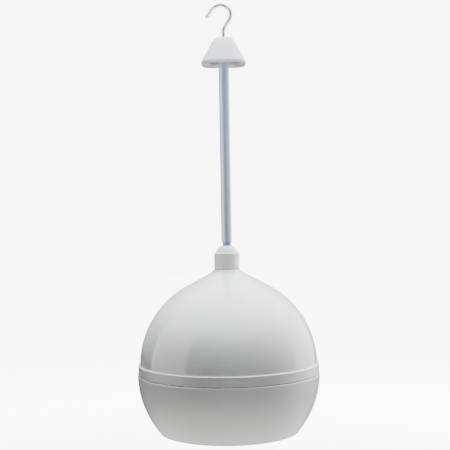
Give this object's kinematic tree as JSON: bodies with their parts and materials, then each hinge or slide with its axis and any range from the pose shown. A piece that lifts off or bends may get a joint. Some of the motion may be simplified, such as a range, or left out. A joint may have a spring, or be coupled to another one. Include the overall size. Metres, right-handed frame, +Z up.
{
  "type": "electric bug zapper",
  "caption": "Hanging ball-shaped insect killer on a tube with a swivel wire hook and rain cap; a lamp and charged grid inside, a hinged guard and a pull-out catch tray below.",
  "frame": {"origin": "centre of the flat rim that the ball stands on", "axes": "+Z up along the tube, +X to the right and -Y towards the viewer; the guard's hinge is at the back, +Y"},
  "size_m": [0.218, 0.218, 0.5129],
  "materials": {
    "shell_white": "glossy moulded plastic",
    "band_white": "glossy moulded plastic",
    "neck_white": "satin moulded plastic",
    "cap_white": "satin white paint",
    "tube_grey": "satin blue-grey lacquer",
    "hook_steel": "bright plated wire",
    "dark_steel": "blackened steel",
    "steel": "plain steel",
    "chassis_metal": "sheet metal",
    "brass": "bare brass",
    "seal_rubber": "dark rubber",
    "seal_grey": "pale grey silicone",
    "lead_black": "black sheath",
    "lead_red": "red sleeve",
    "lead_white": "white sleeve",
    "ivory_insulator": "insulating plastic",
    "board_green": "lacquered board",
    "ferrite": "ferrite",
    "copper_winding": "enamelled copper wire",
    "component_blue": "dipped ceramic",
    "fuse_glass": "glass and metal",
    "connector_green": "moulded plastic",
    "lamp_base_white": "lamp cap",
    "lamp_glass": "phosphor coated glass",
    "guard_white": "moulded plastic",
    "magnet_black": "ferrite magnet",
    "switch_black": "moulded plastic",
    "plunger_red": "moulded plastic"
  },
  "bodies": {
    "housing": {"rod_plug": "dark_steel", "rod_tube": "tube_grey", "terminal_block": "ivory_insulator", "terminal_screws": "brass", "block_clip": "steel", "supply_lead": "lead_black", "threaded_nipple": "dark_steel", "gland_nut": "neck_white", "neck_collar": "neck_white", "neck_gasket": "seal_grey", "lock_washer": "steel", "lock_nut": "steel", "upper_shell": "shell_white", "seam_band": "band_white", "seam_gasket": "seal_grey", "lower_shell": "shell_white", "shell_screws": "steel", "chassis_screws": "steel", "chassis_plate": "chassis_metal", "circuit_board": "board_green", "board_standoffs": "ivory_insulator", "hv_transformer": "ferrite", "transformer_winding": "copper_winding", "hv_capacitors": "component_blue", "lamp_choke": "copper_winding", "fuse": "fuse_glass", "board_connectors": "connector_green", "hv_lead": "lead_red", "lamp_leads": "lead_white", "reflector": "chassis_metal", "lamp_holder": "ivory_insulator", "uv_lamp_base": "lamp_base_white", "uv_lamp_tubes": "lamp_glass", "grid_ring_top": "ivory_insulator", "grid_ring_bottom": "ivory_insulator", "grid_posts": "steel", "grid_nuts": "steel", "grid_wires_live": "steel", "grid_wires_earth": "steel", "live_bus": "brass", "earth_bus": "brass", "guard_hinge_pin": "steel", "catch_magnet": "magnet_black", "interlock_switch": "switch_black", "interlock_spring": "steel"},
    "hook": {"hook": "hook_steel", "hook_washer": "steel", "hook_nut": "steel"},
    "cap": {"hanger_cap": "cap_white"},
    "guard": {"guard_frame": "guard_white", "guard_hub": "guard_white", "guard_spokes": "guard_white", "guard_bars": "steel", "strike_plate": "steel"},
    "tray": {"catch_tray": "guard_white", "tray_floor": "guard_white", "finger_cup": "guard_white", "tray_seal": "seal_rubber", "tray_grip": "guard_white"},
    "plunger": {"interlock_plunger": "plunger_red"}
  },
  "joints": [
    {"name": "hook_swivel", "type": "hinge", "parent": "housing", "child": "hook", "pos_m": [0, 0, 0.461], "axis": [0, 0, 1], "continuous": true},
    {"name": "cap_lift", "type": "slide", "parent": "housing", "child": "cap", "axis": [0, 0, 1], "range_m": [0, 0.008]},
    {"name": "guard_hinge", "type": "hinge", "parent": "housing", "child": "guard", "pos_m": [0, 0.069, 0.0025], "axis": [1, 0, 0], "range_deg": [0, 85]},
    {"name": "tray_pull", "type": "slide", "parent": "guard", "child": "tray", "axis": [0, 0, -1], "range_m": [0, 0.022]},
    {"name": "interlock_travel", "type": "slide", "parent": "housing", "child": "plunger", "axis": [0, 0, -1], "range_m": [0, 0.0025], "deforming": ["interlock_spring"]}
  ],
  "couplings": [
    {"joint": "interlock_travel", "follows": "guard_hinge", "m_per_rad": 0.00168}
  ]
}
